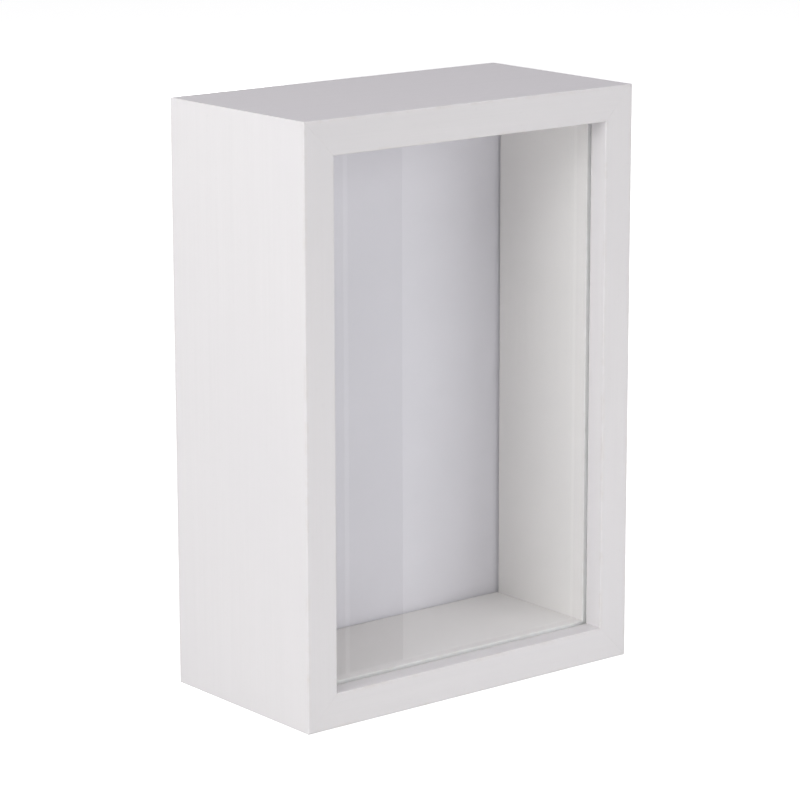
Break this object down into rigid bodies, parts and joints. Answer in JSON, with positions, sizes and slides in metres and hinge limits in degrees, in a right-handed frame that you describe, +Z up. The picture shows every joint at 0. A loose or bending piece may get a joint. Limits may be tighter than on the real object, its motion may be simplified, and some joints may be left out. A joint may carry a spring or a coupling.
{
  "type": "shadow box",
  "caption": "Deep white box frame with a fixed glass front, a lined display cavity, and a removable back held by turn buttons.",
  "frame": {"origin": "middle of the underside, halfway between the front and the back faces", "axes": "+X to the right seen from the front, +Y from the front to the back, +Z up"},
  "size_m": [0.229, 0.12, 0.331],
  "materials": {
    "painted_frame": "satin",
    "painted_liner": "matte",
    "display_board": "matte",
    "fibreboard": "matte",
    "glazing": "polished",
    "zinc_hardware": "satin",
    "nail_steel": "satin"
  },
  "bodies": {
    "frame": {"frame_left_stile": "painted_frame", "frame_right_stile": "painted_frame", "frame_top_rail": "painted_frame", "frame_bottom_rail": "painted_frame", "v_nail_bottom_left_1": "nail_steel", "v_nail_bottom_left_2": "nail_steel", "v_nail_bottom_right_1": "nail_steel", "v_nail_bottom_right_2": "nail_steel", "v_nail_top_right_1": "nail_steel", "v_nail_top_right_2": "nail_steel", "v_nail_top_left_1": "nail_steel", "v_nail_top_left_2": "nail_steel", "glass_pane": "glazing", "liner_left": "painted_liner", "liner_right": "painted_liner", "liner_bottom": "painted_liner", "liner_top": "painted_liner", "turn_button_screw_left_lower": "zinc_hardware", "turn_button_screw_left_upper": "zinc_hardware", "turn_button_screw_right_lower": "zinc_hardware", "turn_button_screw_right_upper": "zinc_hardware", "turn_button_screw_top": "zinc_hardware", "turn_button_screw_bottom": "zinc_hardware", "hanger_strap_left": "zinc_hardware", "hanger_strap_right": "zinc_hardware", "hanger_screw_left": "zinc_hardware", "hanger_screw_right": "zinc_hardware"},
    "back_panel": {"display_board": "display_board", "backing_board": "fibreboard"},
    "button_left_lower": {"turn_button_left_lower": "zinc_hardware"},
    "button_left_upper": {"turn_button_left_upper": "zinc_hardware"},
    "button_right_lower": {"turn_button_right_lower": "zinc_hardware"},
    "button_right_upper": {"turn_button_right_upper": "zinc_hardware"},
    "button_top": {"turn_button_top": "zinc_hardware"},
    "button_bottom": {"turn_button_bottom": "zinc_hardware"},
    "ring_left": {"hanger_ring_left": "zinc_hardware"},
    "ring_right": {"hanger_ring_right": "zinc_hardware"}
  },
  "joints": [
    {"name": "back_panel_slide", "type": "slide", "parent": "frame", "child": "back_panel", "axis": [0, 1, 0], "range_m": [0, 0.06]},
    {"name": "button_left_lower_turn", "type": "hinge", "parent": "frame", "child": "button_left_lower", "pos_m": [-0.10625, 0.0446, 0.0955], "axis": [0, -1, 0], "range_deg": [0, 90]},
    {"name": "button_left_upper_turn", "type": "hinge", "parent": "frame", "child": "button_left_upper", "pos_m": [-0.10625, 0.0446, 0.2355], "axis": [0, -1, 0], "range_deg": [0, 90]},
    {"name": "button_right_lower_turn", "type": "hinge", "parent": "frame", "child": "button_right_lower", "pos_m": [0.10625, 0.0446, 0.0955], "axis": [0, 1, 0], "range_deg": [0, 90]},
    {"name": "button_right_upper_turn", "type": "hinge", "parent": "frame", "child": "button_right_upper", "pos_m": [0.10625, 0.0446, 0.2355], "axis": [0, 1, 0], "range_deg": [0, 90]},
    {"name": "button_top_turn", "type": "hinge", "parent": "frame", "child": "button_top", "pos_m": [0, 0.0446, 0.32275], "axis": [0, 1, 0], "range_deg": [0, 90]},
    {"name": "button_bottom_turn", "type": "hinge", "parent": "frame", "child": "button_bottom", "pos_m": [0, 0.0446, 0.00825], "axis": [0, -1, 0], "range_deg": [0, 90]},
    {"name": "ring_left_swing", "type": "hinge", "parent": "frame", "child": "ring_left", "pos_m": [-0.10625, 0.0474, 0.286], "axis": [1, 0, 0], "range_deg": [0, 180]},
    {"name": "ring_right_swing", "type": "hinge", "parent": "frame", "child": "ring_right", "pos_m": [0.10625, 0.0474, 0.286], "axis": [1, 0, 0], "range_deg": [0, 180]}
  ]
}
